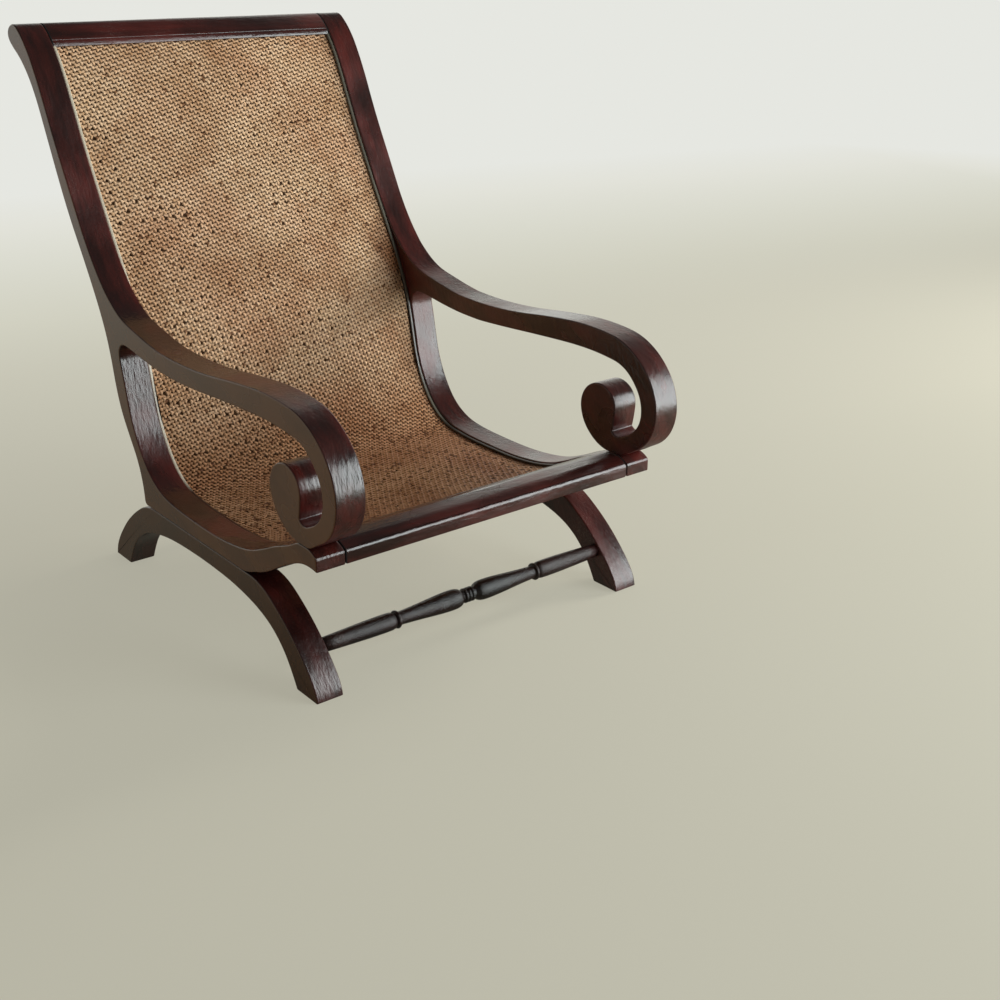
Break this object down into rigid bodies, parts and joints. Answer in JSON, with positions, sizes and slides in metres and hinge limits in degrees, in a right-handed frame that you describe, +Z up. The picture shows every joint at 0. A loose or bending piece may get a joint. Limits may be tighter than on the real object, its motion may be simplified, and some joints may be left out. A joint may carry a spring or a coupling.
{
  "type": "planters chair",
  "caption": "Low reclining lounge chair with long scrolled arms, S-curved side rails, arched legs, a turned front stretcher and a woven cane seat and back.",
  "frame": {"origin": "on the floor, below the middle of the bounding box", "axes": "+Z up, the front of the seat faces -Y, X across the chair"},
  "size_m": [0.7, 1.074, 0.985],
  "materials": {
    "mahogany": "dark red-brown satin lacquer",
    "cane": "woven natural cane, aged"
  },
  "bodies": {
    "root": {"left_side_rail": "mahogany", "right_side_rail": "mahogany", "left_arm": "mahogany", "right_arm": "mahogany", "left_front_leg": "mahogany", "right_front_leg": "mahogany", "left_rear_leg": "mahogany", "right_rear_leg": "mahogany", "crest_rail": "mahogany", "front_seat_rail": "mahogany", "left_cane_bead": "mahogany", "right_cane_bead": "mahogany", "crest_cane_bead": "mahogany", "front_stretcher": "mahogany", "rear_stretcher": "mahogany", "cane_panel": "cane"}
  },
  "joints": []
}
